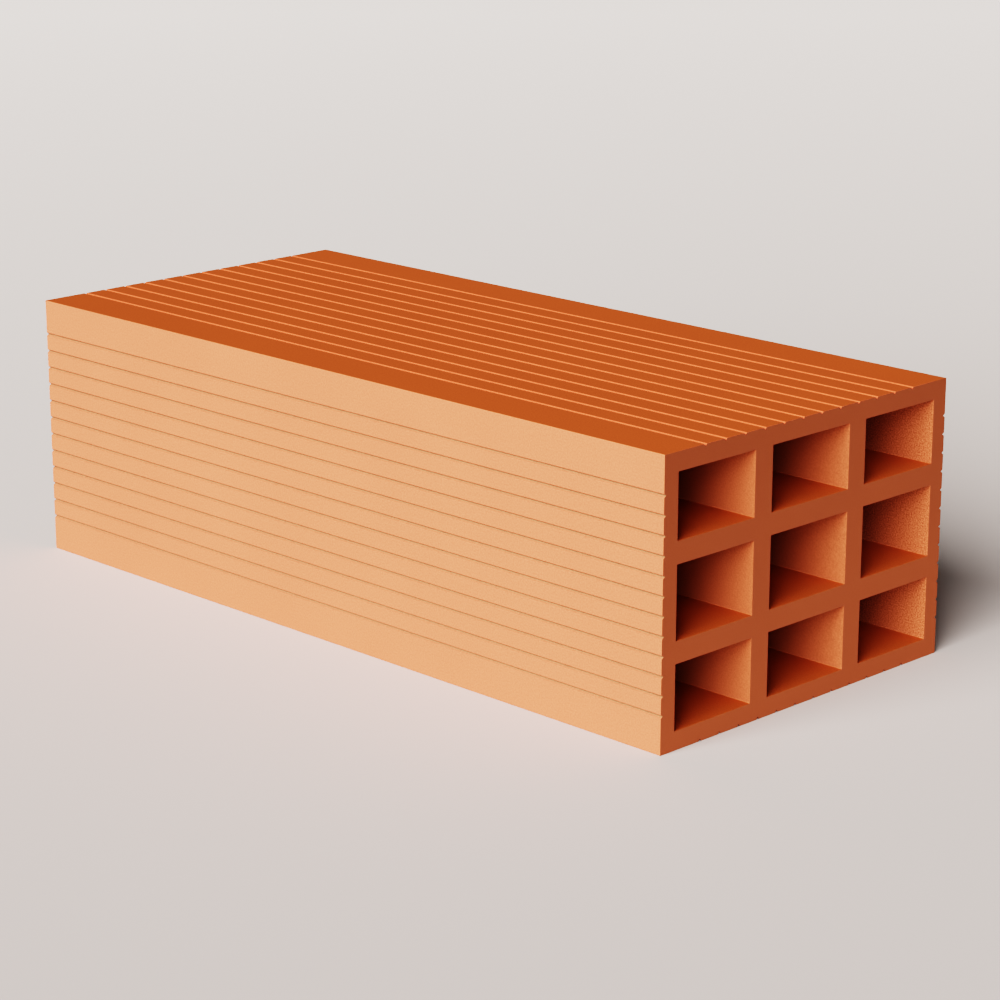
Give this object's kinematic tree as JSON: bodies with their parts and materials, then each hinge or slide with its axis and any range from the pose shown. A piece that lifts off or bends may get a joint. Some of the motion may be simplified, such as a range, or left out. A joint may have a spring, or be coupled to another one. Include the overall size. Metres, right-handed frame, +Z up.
{
  "type": "hollow clay brick",
  "caption": "Fired clay brick with rows of long rectangular cells right through it and fine key grooves along its four long faces, for walls and infill.",
  "frame": {"origin": "middle of the bottom bed face", "axes": "+X along the cells, +Y across the brick, +Z up from the bottom bed to the top bed"},
  "size_m": [0.29, 0.13, 0.09],
  "materials": {
    "fired_clay": "unglazed, fine sandy grain"
  },
  "bodies": {
    "root": {"brick": "fired_clay"}
  },
  "joints": []
}
